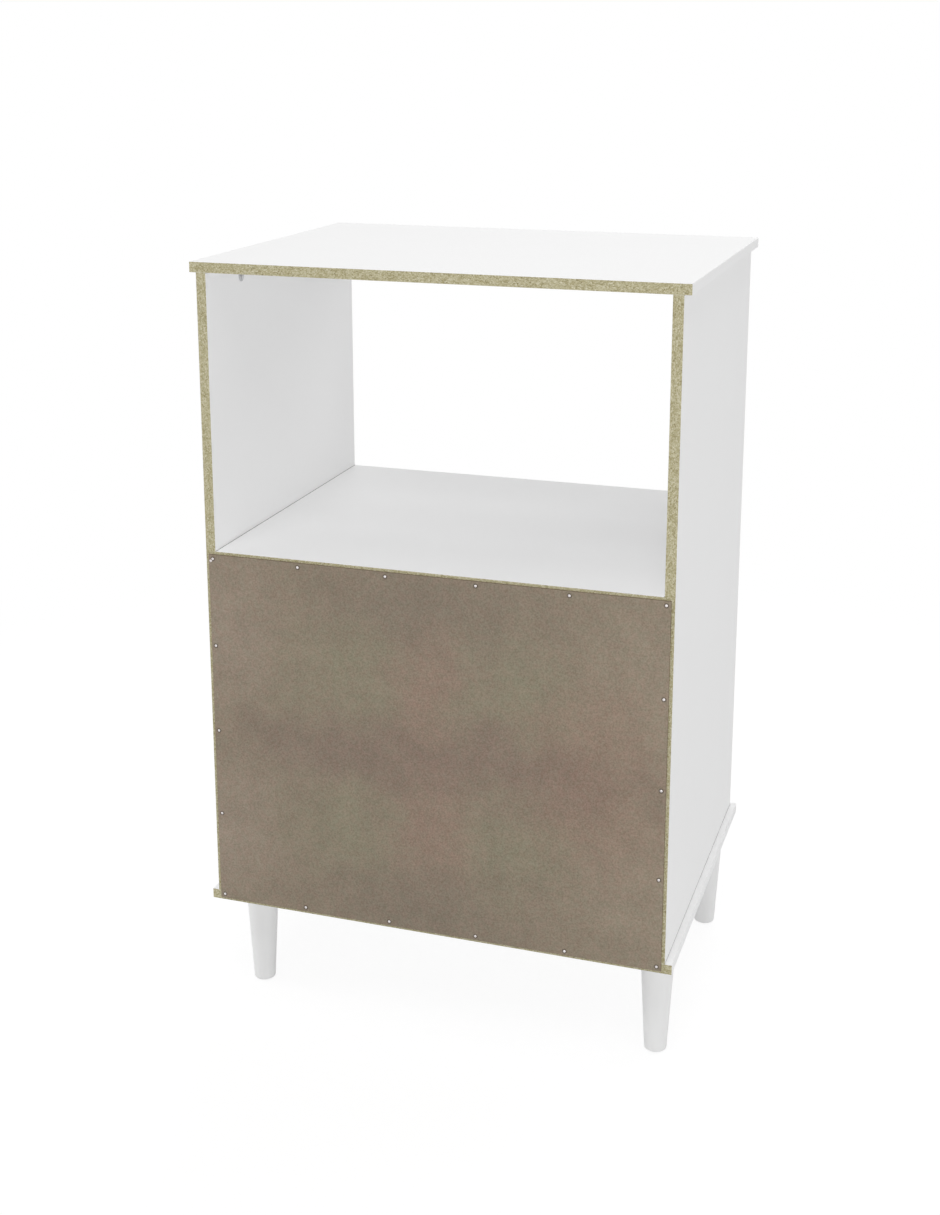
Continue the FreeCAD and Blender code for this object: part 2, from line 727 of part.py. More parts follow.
def build():
    """Every node of the cabinet, as lists of solids by name."""
    nodes = {}
    nail_solids, nail_holes = nails()
    cams, bolts, dowels, joint_holes = joinery()
    pins, pin_holes = shelf_pins()
    legs = leg_places()
    leg_screw_sets = [leg_screws(place) for place in legs.values()]
    plate_screws = [solid for solids, _ in leg_screw_sets for solid in solids]
    plate_holes = [hole for _, holes in leg_screw_sets for hole in holes]
    collar_holes = [collar_hole(place) for place in legs.values()]
    hinge_holes = side_hinge_holes()
    hinge_holes += [mirrored(hole) for hole in hinge_holes]

    nodes["top_panel"] = [drilled(wide_panel(side_top_z), joint_holes)]
    for side, sign in SIDES.items():
        tools = joint_holes + nail_holes + pin_holes + hinge_holes
        nodes[f"{side}_side_panel"] = [drilled(side_panel(sign), tools)]
    nodes["niche_shelf"] = [drilled(niche_shelf(), joint_holes + nail_holes + catch_holes())]
    nodes["bottom_panel"] = [drilled(wide_panel(underside_z),
                                     joint_holes + nail_holes + plate_holes + collar_holes)]
    nodes["back_panel"] = [drilled(back_panel(), nail_holes)]
    nodes["back_nails"] = nail_solids
    nodes["cam_locks"] = cams
    nodes["cam_bolts"] = bolts
    nodes["dowels"] = dowels
    nodes["inner_shelf"] = [inner_shelf()]
    nodes["shelf_pins"] = pins

    for name, place in legs.items():
        nodes[f"{name}_leg"] = [leg(place)]
        nodes[f"{name}_leg_plate"] = [drilled(leg_plate(place), plate_holes)]
    nodes["leg_bolts"] = [leg_bolt(place) for place in legs.values()]
    nodes["leg_plate_screws"] = plate_screws
    nodes["leg_glides"] = [leg_glide(place) for place in legs.values()]

    carcass_screws = []
    cup_screw_sets = []
    for level, height in hinge_heights.items():
        pieces = {"hinge_plate": hinge_plate(), "hinge_arm": hinge_arm(),
                  "hinge_cup": hinge_cup(), "hinge_pin": hinge_pin()}
        for piece, solid in pieces.items():
            left = hinge_to_left(solid, height)
            nodes[f"left_{level}_{piece}"] = [left]
            nodes[f"right_{level}_{piece}"] = [mirrored(left)]
        carcass_screws += [hinge_to_left(solid, height) for solid in carcass_hinge_screws()]
        cup_screw_sets += [hinge_to_left(solid, height) for solid in cup_screws()]
    nodes["hinge_plate_screws"] = carcass_screws + [mirrored(solid) for solid in carcass_screws]
    nodes["magnet_catches"] = both_sides(lambda: [left_catch()])
    nodes["catch_magnets"] = both_sides(left_magnet)
    nodes["catch_poles"] = both_sides(left_poles)
    nodes["catch_screws"] = both_sides(left_catch_screws)

    strike_screw = placed(screw(screw_length), strike_screw_place(), REAR, RIGHT)
    door_pieces = {"door": [left_door()], "knob": [left_knob()], "knob_screw": [left_knob_screw()],
                   "strike_plate": [left_strike()], "strike_screw": [strike_screw],
                   "cup_screws": cup_screw_sets}
    for piece, solids in door_pieces.items():
        nodes[f"left_{piece}"] = solids
        nodes[f"right_{piece}"] = [mirrored(solid) for solid in solids]
    return nodes


def main():
    os.makedirs("parts", exist_ok=True)
    for name, solids in build().items():
        shape = solids[0] if len(solids) == 1 else Part.makeCompound(solids)
        shape.exportStep(f"parts/{name}.step")


main()
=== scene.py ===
import math

import bpy
import numpy as np
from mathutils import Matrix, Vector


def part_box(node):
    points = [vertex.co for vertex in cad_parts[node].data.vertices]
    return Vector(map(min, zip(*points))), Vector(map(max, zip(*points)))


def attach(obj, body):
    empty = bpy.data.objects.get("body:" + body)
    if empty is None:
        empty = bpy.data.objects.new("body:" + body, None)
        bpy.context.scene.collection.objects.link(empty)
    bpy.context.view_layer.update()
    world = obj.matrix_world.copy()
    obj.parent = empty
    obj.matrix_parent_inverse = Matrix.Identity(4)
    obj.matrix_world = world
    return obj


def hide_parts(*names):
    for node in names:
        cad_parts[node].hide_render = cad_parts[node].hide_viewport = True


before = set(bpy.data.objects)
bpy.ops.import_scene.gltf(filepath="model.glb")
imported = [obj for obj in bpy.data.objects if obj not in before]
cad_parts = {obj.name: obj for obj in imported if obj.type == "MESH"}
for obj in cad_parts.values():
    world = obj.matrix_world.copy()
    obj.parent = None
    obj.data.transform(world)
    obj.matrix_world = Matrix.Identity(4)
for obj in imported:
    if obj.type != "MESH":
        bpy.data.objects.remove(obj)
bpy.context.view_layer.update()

# Carcass boards: chipboard with white melamine paper pressed on both faces. The front and side
# edges carry a thin plastic band, the rear edges are left as sawn, and where a board butts on
# another a fine line of painted shadow stands for the shade in the joint's hairline gap.
WHITE = (0.925, 0.925, 0.925, 1.0)
# Colour of the painted shadow line at a joint.
JOINT_PAINTED_SHADOW = (0.17, 0.17, 0.165, 1.0)
BAND_SEAM = (0.60, 0.59, 0.57, 1.0)
PAPER_SKIN = 0.00015
BAND_THICKNESS = 0.0005
SEAM_HALF_WIDTH = 0.00008
# Width of the painted shadow line at a joint.
JOINT_SHADOW_WIDTH = 0.0013
CORE_DEPTH = 0.0003
# A direction counts as along an axis when at least this share of it is.
ALONG_SHARE = 0.9
MELAMINE_WAVES = 900.0
MELAMINE_ROUGHNESS = 0.5
MELAMINE_SPREAD = 0.12
MELAMINE_RELIEF = 0.000006
CLOUD_WAVES = 9.0
CLOUD_SHADE = 0.02
PAPER_GLOSS = 0.2
FLAKE_FLATNESS = 1.5
FLAKE_WAVES = 470.0
FLAKE_SHARE = 0.55
CRUMB_WAVES = 1100.0
PIT_WAVES = 520.0
PIT_RANGE = (0.66, 0.74)
PIT_SHARE = 0.55
PIT_COLOUR = (0.13, 0.09, 0.04, 1.0)
CHIP_ROUGHNESS = 0.9
CHIP_RELIEF = 0.0002
DARKEST_CHIP = (0.20, 0.165, 0.08, 1.0)
PALEST_CHIP = (0.765, 0.73, 0.595, 1.0)
# Chip colours between the darkest and the palest, by their share of the way.
MIDDLE_CHIPS = {
    0.25: (0.395, 0.35, 0.195, 1.0),
    0.5: (0.50, 0.458, 0.288, 1.0),
    0.75: (0.59, 0.553, 0.383, 1.0),
}
AXES = "XYZ"
REAR_END = [("Y", 1)]
FRONT_END = [("Y", -1)]
SIDE_ENDS = [("X", -1), ("X", 1)]
UPRIGHT_ENDS = [("Z", -1), ("Z", 1)]


def corners(name):
    """Lowest and highest corner of a CAD node, as arrays."""
    return (np.array(corner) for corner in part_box(name))


def step(tree, kind, feeds=None, **settings):
    """Adds a shader node. Settings are its properties and feeds its inputs, by name or number:
    a socket is linked and a plain value is set."""
    node = tree.nodes.new("ShaderNode" + kind)
    for key, value in settings.items():
        setattr(node, key, value)
    for key, feed in (feeds or {}).items():
        if isinstance(feed, bpy.types.NodeSocket):
            tree.links.new(feed, node.inputs[key])
        else:
            node.inputs[key].default_value = feed
    return node


def reckon(tree, operation, *feeds):
    """Result of one sum on sockets and numbers."""
    return step(tree, "Math", dict(enumerate(feeds)), operation=operation).outputs[0]


def reckon_vector(tree, operation, *feeds):
    """Result of one sum on vectors: a number for lengths, else a vector."""
    outputs = step(tree, "VectorMath", dict(enumerate(feeds)), operation=operation).outputs
    return outputs["Value"] if operation == "LENGTH" else outputs["Vector"]


def ramped(tree, value, start, end, low=0.0, high=1.0):
    """A value carried smoothly from low to high as it goes from start to end."""
    feeds = {"Value": value, "From Min": start, "From Max": end, "To Min": low, "To Max": high}
    return step(tree, "MapRange", feeds, interpolation_type="SMOOTHSTEP").outputs["Result"]


def blended(tree, share, low, high):
    """Number between two numbers, by a share."""
    return step(tree, "Mix", {0: share, 2: low, 3: high}, data_type="FLOAT").outputs[0]


def mixed(tree, share, low, high, how="MIX"):
    """Colour between two colours, by a share."""
    feeds = {0: share, 6: low, 7: high}
    return step(tree, "Mix", feeds, data_type="RGBA", blend_type=how).outputs[2]


def tinted(tree, colour, tint):
    """Colour times a tint or a shade."""
    return mixed(tree, 1.0, colour, tint, "MULTIPLY")


def noise(tree, place, waves, detail=2.0):
    """Soft noise between 0 and 1, in waves per metre."""
    feeds = {"Vector": place, "Scale": waves, "Detail": detail}
    return step(tree, "TexNoise", feeds).outputs[0]


def cells(tree, place, waves):
    """A random shade for each cell of a crushed pattern, in cells per metre."""
    colour = step(tree, "TexVoronoi", {"Vector": place, "Scale": waves}).outputs["Color"]
    return step(tree, "SeparateColor", {0: colour}).outputs[0]


def new_group(name, inputs, outputs):
    """Shader node group whose sockets are given by name and kind: its tree, its input sockets and
    its output sockets."""
    tree = bpy.data.node_groups.new(name, "ShaderNodeTree")
    for way, sockets in (("INPUT", inputs), ("OUTPUT", outputs)):
        for label, kind in sockets.items():
            tree.interface.new_socket(label, in_out=way, socket_type="NodeSocket" + kind)
    return tree, tree.nodes.new("NodeGroupInput").outputs, tree.nodes.new("NodeGroupOutput").inputs


def new_material(name):
    """Material with its node tree and the inputs of its one shader."""
    material = bpy.data.materials.new(name)
    material.use_nodes = True
    return material, material.node_tree, material.node_tree.nodes["Principled BSDF"].inputs


def raised(tree, shader, height):
    """Lets a height in metres tilt the surface's normal."""
    bump = step(tree, "Bump", {"Height": height, "Distance": 1.0, "Strength": 1.0})
    tree.links.new(bump.outputs["Normal"], shader["Normal"])


def dress(material, *names):
    """Gives CAD nodes their material."""
    for name in names:
        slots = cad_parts[name].data.materials
        slots.clear()
        slots.append(material)


def stipple_group():
    """Fine pressed or sprayed texture: a shade close to 1, a roughness and a height."""
    tree, inputs, outputs = new_group(
        "stipple",
        {"Place": "Vector", "Waves": "Float", "Roughness": "Float", "Spread": "Float", "Height": "Float"},
        {"Shade": "Float", "Roughness": "Float", "Height": "Float"})
    fine = noise(tree, inputs["Place"], inputs["Waves"])
    cloud = noise(tree, inputs["Place"], CLOUD_WAVES, detail=3.0)
    uneven = reckon(tree, "SUBTRACT", cloud, 0.5)
    tree.links.new(reckon(tree, "MULTIPLY_ADD", uneven, CLOUD_SHADE, 1.0), outputs["Shade"])
    rough = reckon(tree, "MULTIPLY_ADD", uneven, inputs["Spread"], inputs["Roughness"])
    tree.links.new(rough, outputs["Roughness"])
    tree.links.new(reckon(tree, "MULTIPLY", fine, inputs["Height"]), outputs["Height"])
    return tree


def chipboard_group():
    """Sawn chipboard: flat flakes of random shade, finer crumbs and dark pits between them."""
    tree, inputs, outputs = new_group(
        "sawn_chipboard", {"Place": "Vector"}, {"Color": "Color", "Height": "Float"})
    flake = reckon(tree, "MULTIPLY", cells(tree, inputs["Place"], FLAKE_WAVES), FLAKE_SHARE)
    crumb = cells(tree, inputs["Place"], CRUMB_WAVES)
    shade = reckon(tree, "MULTIPLY_ADD", crumb, 1 - FLAKE_SHARE, flake)
    ramp = step(tree, "ValToRGB", {0: shade})
    stops = ramp.color_ramp.elements
    stops[0].color = DARKEST_CHIP
    stops[1].color = PALEST_CHIP
    for share, colour in MIDDLE_CHIPS.items():
        stops.new(share).color = colour
    pit = ramped(tree, noise(tree, inputs["Place"], PIT_WAVES, detail=1.0), *PIT_RANGE)
    pit_share = reckon(tree, "MULTIPLY", pit, PIT_SHARE)
    tree.links.new(mixed(tree, pit_share, ramp.outputs["Color"], PIT_COLOUR), outputs["Color"])
    tree.links.new(reckon(tree, "SUBTRACT", shade, pit), outputs["Height"])
    return tree


stipple = stipple_group()
sawn_chipboard = chipboard_group()


def stippled(tree, place, waves, roughness, spread, relief):
    """Outputs of the stipple group in a material, at that material's values."""
    feeds = {"Place": place, "Waves": waves, "Roughness": roughness, "Spread": spread, "Height": relief}
    return step(tree, "Group", feeds, node_tree=stipple).outputs


def board_finish(name, thin, banded, raw, joint_shadow_ends):
    """White-faced board on the CAD node of that name. thin is the axis of its thickness; the last three
    arguments name, by axis and sign, its banded ends, its raw ends and the ends that butt on another
    board and get a painted shadow line. Inside its holes the chips show."""
    low, high = corners(name)
    half = (high - low) / 2
    material, tree, shader = new_material(name + "_finish")
    coordinates = step(tree, "TexCoord").outputs
    place = reckon_vector(tree, "SUBTRACT", coordinates["Object"], tuple((low + high) / 2))
    along = step(tree, "SeparateXYZ", {0: place}).outputs
    facing = step(tree, "SeparateXYZ", {0: coordinates["Normal"]}).outputs
    inset = reckon_vector(tree, "SUBTRACT", tuple(half), reckon_vector(tree, "ABSOLUTE", place))
    depths = step(tree, "SeparateXYZ", {0: inset}).outputs
    depth = reckon(tree, "MINIMUM", reckon(tree, "MINIMUM", depths[0], depths[1]), depths[2])

    def from_end(axis, sign):
        """Distance from one end of the board, towards its middle."""
        index = AXES.index(axis)
        return reckon(tree, "MULTIPLY_ADD", along[index], -sign, half[index])

    sawn = reckon(tree, "GREATER_THAN", depth, CORE_DEPTH)
    for axis, sign in raw:
        turned_out = reckon(tree, "MULTIPLY", facing[AXES.index(axis)], sign)
        sawn = reckon(tree, "MAXIMUM", sawn, reckon(tree, "GREATER_THAN", turned_out, ALONG_SHARE))
    under_paper = reckon(tree, "GREATER_THAN", depths[AXES.index(thin)], PAPER_SKIN)
    sawn = reckon(tree, "MULTIPLY", sawn, under_paper)

    paper = stippled(tree, coordinates["Object"], MELAMINE_WAVES, MELAMINE_ROUGHNESS,
                     MELAMINE_SPREAD, MELAMINE_RELIEF)
    flatness = tuple(FLAKE_FLATNESS if axis == thin else 1.0 for axis in AXES)
    flat_place = reckon_vector(tree, "MULTIPLY", coordinates["Object"], flatness)
    chips = step(tree, "Group", {"Place": flat_place}, node_tree=sawn_chipboard).outputs

    colour = tinted(tree, WHITE, paper["Shade"])
    for axis, sign in banded:
        off_seam = reckon(tree, "SUBTRACT", from_end(axis, sign), BAND_THICKNESS)
        off_seam = reckon(tree, "ABSOLUTE", off_seam)
        colour = mixed(tree, ramped(tree, off_seam, SEAM_HALF_WIDTH, 0.0), colour, BAND_SEAM)
    # Painted shadow: a dark line along each end that butts on another board stands for the shade in the
    # joint's hairline gap.
    for axis, sign in joint_shadow_ends:
        shade = ramped(tree, from_end(axis, sign), JOINT_SHADOW_WIDTH, JOINT_SHADOW_WIDTH / 2)
        colour = mixed(tree, shade, colour, JOINT_PAINTED_SHADOW)
    tree.links.new(mixed(tree, sawn, colour, chips["Color"]), shader["Base Color"])
    tree.links.new(blended(tree, sawn, paper["Roughness"], CHIP_ROUGHNESS), shader["Roughness"])
    shader["Specular IOR Level"].default_value = PAPER_GLOSS
    chip_height = reckon(tree, "MULTIPLY", chips["Height"], CHIP_RELIEF)
    raised(tree, shader, blended(tree, sawn, paper["Height"], chip_height))
    dress(material, name)


for panel in ("bottom_panel", "top_panel"):
    board_finish(panel, "Z", FRONT_END + SIDE_ENDS, REAR_END, [])
for panel in ("left_side_panel", "right_side_panel"):
    board_finish(panel, "X", FRONT_END, REAR_END, UPRIGHT_ENDS)
board_finish("niche_shelf", "Z", FRONT_END, REAR_END, SIDE_ENDS)

# Joint hardware: beech dowels line the boards up, and a zinc cam in one board turns on the head
# of a plated bolt that is screwed into the other and draws them together.
CAM_ZINC = (0.60, 0.60, 0.61, 1.0)
CAM_DULL = (0.47, 0.47, 0.475, 1.0)
ZINC_ROUGHNESS = 0.45
ZINC_SPREAD = 0.2
ZINC_RELIEF = 0.00001
BRIGHT_PLATE = (0.74, 0.74, 0.73, 1.0)
DULL_PLATE = (0.55, 0.55, 0.55, 1.0)
PLATE_ROUGHNESS = 0.32
PLATE_SPREAD = 0.15
PLATE_RELIEF = 0.000004
PLATING_WAVES = 160.0
SCUFF_WAVES = 1400.0
NOISE_SPAN = (0.3, 0.7)
BEECH = (0.60, 0.42, 0.25, 1.0)
BEECH_DARK = (0.42, 0.26, 0.13, 1.0)
BEECH_WAVES = 500.0
FLECK_RANGE = (0.5, 0.75)
BEECH_ROUGHNESS = (0.55, 0.75)


def plating_group():
    """Plated or cast metal: a cloudy share between two tones, a roughness and fine scuffs."""
    tree, inputs, outputs = new_group(
        "plating",
        {"Place": "Vector", "Roughness": "Float", "Spread": "Float", "Height": "Float"},
        {"Share": "Float", "Roughness": "Float", "Height": "Float"})
    cloud = noise(tree, inputs["Place"], PLATING_WAVES, detail=4.0)
    scuff = noise(tree, inputs["Place"], SCUFF_WAVES)
    tree.links.new(ramped(tree, cloud, *NOISE_SPAN), outputs["Share"])
    uneven = reckon(tree, "SUBTRACT", scuff, 0.5)
    rough = reckon(tree, "MULTIPLY_ADD", uneven, inputs["Spread"], inputs["Roughness"])
    tree.links.new(rough, outputs["Roughness"])
    tree.links.new(reckon(tree, "MULTIPLY", scuff, inputs["Height"]), outputs["Height"])
    return tree


plating = plating_group()


def metal_finish(name, bright, dull, roughness, spread=PLATE_SPREAD, relief=PLATE_RELIEF):
    """Metal whose tone drifts between two colours, with a scuffed roughness."""
    material, tree, shader = new_material(name)
    place = step(tree, "TexCoord").outputs["Object"]
    feeds = {"Place": place, "Roughness": roughness, "Spread": spread, "Height": relief}
    skin = step(tree, "Group", feeds, node_tree=plating).outputs
    tree.links.new(mixed(tree, skin["Share"], bright, dull), shader["Base Color"])
    tree.links.new(skin["Roughness"], shader["Roughness"])
    raised(tree, shader, skin["Height"])
    shader["Metallic"].default_value = 1.0
    return material


def beech_finish():
    """Turned beech: short dark flecks in a pale ground."""
    material, tree, shader = new_material("beech")
    place = step(tree, "TexCoord").outputs["Object"]
    fleck = noise(tree, place, BEECH_WAVES, detail=4.0)
    dark = ramped(tree, fleck, *FLECK_RANGE)
    tree.links.new(mixed(tree, dark, BEECH, BEECH_DARK), shader["Base Color"])
    tree.links.new(ramped(tree, fleck, *NOISE_SPAN, *BEECH_ROUGHNESS), shader["Roughness"])
    return material


plated_steel = metal_finish("plated_steel", BRIGHT_PLATE, DULL_PLATE, PLATE_ROUGHNESS)
cast_zinc = metal_finish("cast_zinc", CAM_ZINC, CAM_DULL, ZINC_ROUGHNESS, ZINC_SPREAD, ZINC_RELIEF)
dress(beech_finish(), "dowels")
dress(plated_steel, "cam_bolts")
dress(cast_zinc, "cam_locks")

# Back: one sheet of hardboard nailed over the lower compartment only. Its outer face is bare brown
# fibre with cloudy stains, its inner face is painted white.
FIBRE = (0.272, 0.2235, 0.1675, 1.0)
FIBRE_EDGE = (0.20, 0.155, 0.11, 1.0)
FIBRE_LOW = (0.60, 0.575, 0.47, 1.0)
FIBRE_HIGH = (1.40, 1.425, 1.53, 1.0)
FIBRE_WAVES = 430.0
FIBRE_ROUGHNESS = 0.8
FIBRE_RELIEF = 0.00006
HUE_WAVES = 105.0
HUE_RANGE = (0.35, 0.65)
GREEN_TINT = (0.98, 1.015, 1.0, 1.0)
RED_TINT = (1.025, 0.985, 0.985, 1.0)
MOTTLE_WAVES = 26.0
MOTTLE_SPAN = 0.3
MOTTLE_LOW = 0.85
SPECK_WAVES = 190.0
SPECK_RANGE = (0.76, 0.80)
SPECK_SHARE = 0.5
WARP_WAVES = 14.0
WARP = 0.5
NAIL_EDGE = 0.0064
NAILS_ACROSS = 6
NAILS_UP = 5
NAIL_HEAD_RADIUS = 0.002
DIMPLE_RADIUS = 0.0045
DIMPLE_DEPTH = 0.0002
# Round each nail the fibre is dented, and the dent is darkened with painted shadow: its share and colour
# follow.
DIMPLE_SHADOW_SHARE = 0.9
DIMPLE_PAINTED_SHADOW = (0.07, 0.055, 0.04, 1.0)
EDGE_FACING = (0.6, 0.4)
INSIDE_FACING = -0.5
PAINT_INSIDE = (0.84, 0.84, 0.83, 1.0)
PAINT_ROUGHNESS = 0.5
PAINT_SPREAD = 0.1
PAINT_RELIEF = 0.00002
# Stains as shares of the sheet's half width and half height: middle across and up, reach across
# and up, and the tint. Each lies above and below the middle, as a pressed sheet mirrors its caul.
STAIN_SHARES = [
    (0.62, 0.06, 0.62, 0.30, (0.975, 0.97, 0.98)),
    (-0.10, 0.0, 1.35, 0.30, (0.95, 0.92, 0.94)),
    (0.05, 0.88, 0.80, 0.42, (0.89, 0.89, 0.91)),
    (1.02, 0.60, 0.52, 0.70, (1.16, 1.15, 1.20)),
    (-1.02, 0.60, 0.60, 0.70, (1.11, 1.12, 1.13)),
    (0.0, 0.40, 0.26, 0.50, (1.06, 0.96, 0.99)),
    (0.40, 0.45, 0.40, 0.42, (0.97, 1.04, 1.0)),
    (-0.34, 0.45, 0.42, 0.42, (0.97, 1.04, 1.0)),
    (-0.72, 0.24, 0.46, 0.50, (1.035, 0.965, 0.975)),
]


def stain_group():
    """One soft stain: an oval that tints the colour under it and fades to nothing at its rim."""
    tree, inputs, outputs = new_group(
        "soft_stain",
        {"Color": "Color", "Place": "Vector", "Middle": "Vector", "Reach": "Vector", "Tint": "Color"},
        {"Color": "Color"})
    off = reckon_vector(tree, "SUBTRACT", inputs["Place"], inputs["Middle"])
    far = reckon_vector(tree, "LENGTH", reckon_vector(tree, "DIVIDE", off, inputs["Reach"]))
    fading = mixed(tree, ramped(tree, far, 1.0, 0.0), (1, 1, 1, 1), inputs["Tint"])
    tree.links.new(tinted(tree, inputs["Color"], fading), outputs["Color"])
    return tree


soft_stain = stain_group()


def stained_colour(tree, coordinates, place, half):
    """Ground colour of the sheet: stains at shares of its half size, bent by a broad warp."""
    feeds = {"Vector": coordinates["Object"], "Scale": WARP_WAVES, "Detail": 4.0}
    warp = step(tree, "TexNoise", feeds).outputs["Color"]
    warp = reckon_vector(tree, "SUBTRACT", warp, (0.5, 0.5, 0.5))
    warp = reckon_vector(tree, "MULTIPLY", warp, (WARP, 0, WARP))
    share = reckon_vector(tree, "MULTIPLY", place, (1 / half[0], 0.0, 1 / half[2]))
    share = reckon_vector(tree, "ADD", share, warp)
    colour = FIBRE
    for across, up, reach_across, reach_up, tint in STAIN_SHARES:
        for side in (1, -1):
            feeds = {"Color": colour, "Place": share, "Middle": (across, 0.0, side * up),
                     "Reach": (reach_across, 1.0, reach_up), "Tint": (*tint, 1.0)}
            colour = step(tree, "Group", feeds, node_tree=soft_stain).outputs[0]
    hue = ramped(tree, noise(tree, place, HUE_WAVES, detail=3.0), *HUE_RANGE)
    return mixed(tree, hue, tinted(tree, colour, GREEN_TINT), tinted(tree, colour, RED_TINT))


def nail_dimples(tree, place, half):
    """Mask that rises from nothing at the dimple's rim to 1 at the nail head, about the nearest
    point of the nails' even grid, and only along the grid's outer rows."""
    along = step(tree, "SeparateXYZ", {0: place}).outputs
    rows = {"X": (half[0] - NAIL_EDGE, NAILS_ACROSS), "Z": (half[2] - NAIL_EDGE, NAILS_UP)}
    offsets = []
    near_rows = []
    for axis, (reach, count) in rows.items():
        pitch = 2 * reach / (count - 1)
        in_pitches = reckon(tree, "MULTIPLY_ADD", along[axis], 1 / pitch, reach / pitch + 0.5)
        off = reckon(tree, "SUBTRACT", reckon(tree, "FRACT", in_pitches), 0.5)
        offsets.append(reckon(tree, "MULTIPLY", off, pitch))
        from_middle = reckon(tree, "ABSOLUTE", along[axis])
        near_rows.append(reckon(tree, "GREATER_THAN", from_middle, reach - NAIL_EDGE))
    off_nail = step(tree, "CombineXYZ", dict(enumerate(offsets))).outputs[0]
    dimple = ramped(tree, reckon_vector(tree, "LENGTH", off_nail), DIMPLE_RADIUS, NAIL_HEAD_RADIUS)
    return reckon(tree, "MULTIPLY", dimple, reckon(tree, "MAXIMUM", *near_rows))


def hardboard_finish(name):
    """Bare fibre outside with stains and specks, a dent round each nail darkened by painted shadow, and
    paint inside.
    """
    low, high = corners(name)
    half = (high - low) / 2
    material, tree, shader = new_material("hardboard")
    coordinates = step(tree, "TexCoord").outputs
    place = reckon_vector(tree, "SUBTRACT", coordinates["Object"], tuple((low + high) / 2))

    fibre = noise(tree, place, FIBRE_WAVES, detail=4.0)
    mottle = noise(tree, place, MOTTLE_WAVES, detail=5.0)
    mottle = reckon(tree, "MULTIPLY_ADD", mottle, MOTTLE_SPAN, MOTTLE_LOW)
    grain = tinted(tree, mixed(tree, fibre, FIBRE_LOW, FIBRE_HIGH), mottle)
    colour = tinted(tree, stained_colour(tree, coordinates, place, half), grain)
    speck = ramped(tree, noise(tree, place, SPECK_WAVES, detail=1.0), *SPECK_RANGE)
    colour = mixed(tree, reckon(tree, "MULTIPLY", speck, SPECK_SHARE), colour, FIBRE_EDGE)
    dimple = nail_dimples(tree, place, half)
    # Painted shadow: darkens the dent round each nail head.
    colour = mixed(tree, reckon(tree, "MULTIPLY", dimple, DIMPLE_SHADOW_SHARE), colour, DIMPLE_PAINTED_SHADOW)

    facing = step(tree, "SeparateXYZ", {0: coordinates["Normal"]}).outputs["Y"]
    edge = ramped(tree, reckon(tree, "ABSOLUTE", facing), *EDGE_FACING)
    colour = mixed(tree, edge, colour, tinted(tree, FIBRE_EDGE, grain))
    inside = reckon(tree, "LESS_THAN", facing, INSIDE_FACING)
    paint = stippled(tree, coordinates["Object"], FIBRE_WAVES, PAINT_ROUGHNESS, PAINT_SPREAD, PAINT_RELIEF)
    painted = tinted(tree, PAINT_INSIDE, paint["Shade"])
    tree.links.new(mixed(tree, inside, colour, painted), shader["Base Color"])
    tree.links.new(blended(tree, inside, FIBRE_ROUGHNESS, paint["Roughness"]), shader["Roughness"])
    shader["Specular IOR Level"].default_value = PAPER_GLOSS
    fibre_height = reckon(tree, "MULTIPLY", fibre, FIBRE_RELIEF)
    fibre_height = reckon(tree, "MULTIPLY_ADD", dimple, -DIMPLE_DEPTH, fibre_height)
    raised(tree, shader, blended(tree, inside, fibre_height, paint["Height"]))
    dress(material, name)


hardboard_finish("back_panel")

# Back nails: pale plated nails with low domed heads, driven through the hardboard into the rear
# edges of the boards. They go round its rim, and one corner has a second nail beside the first.
NAIL_STEEL = (0.76, 0.72, 0.71, 1.0)
NAIL_STEEL_DULL = (0.62, 0.58, 0.57, 1.0)
NAIL_ROUGHNESS = 0.38
NAIL_RIM = 0.0003
NAIL_RADIUS = 0.0008
NAIL_POINT_SHARE = 0.12
NAIL_TIP_SHARE = 0.15
# Rings of a head's dome as shares of its radius.
DOME_SHARES = np.linspace(0.08, 1.0, 7)
SPARE_NAIL_SHIFT = 0.0034
ROUND_SIDES = 28
GOLDEN_ANGLE = 2.4


def turned_rings(radii, heights, sides):
    """Rings of points about the Z axis: radius and height for each ring, which may also vary
    with the angle, carried once round in equal steps."""
    angle = np.linspace(0, 2 * np.pi, sides, endpoint=False)
    radii = np.broadcast_to(np.asarray(radii).reshape(len(radii), -1), (len(radii), sides))
    heights = np.broadcast_to(np.asarray(heights).reshape(len(heights), -1), (len(heights), sides))
    return np.stack([radii * np.cos(angle), radii * np.sin(angle), heights], axis=-1)


def ring_faces(rings, sides):
    """Quads between each ring and the next, all turned outwards when the rings go down the axis,
    and one many-sided face over the first ring and under the last."""
    start = np.arange(rings - 1)[:, None] * sides + np.arange(sides)
    across = np.arange(rings - 1)[:, None] * sides + (np.arange(sides) + 1) % sides
    quads = np.stack([start, start + sides, across + sides, across], axis=-1).reshape(-1, 4)
    first = np.arange(sides)
    last = (rings - 1) * sides + np.arange(sides)[::-1]
    return quads, np.stack([first, last])


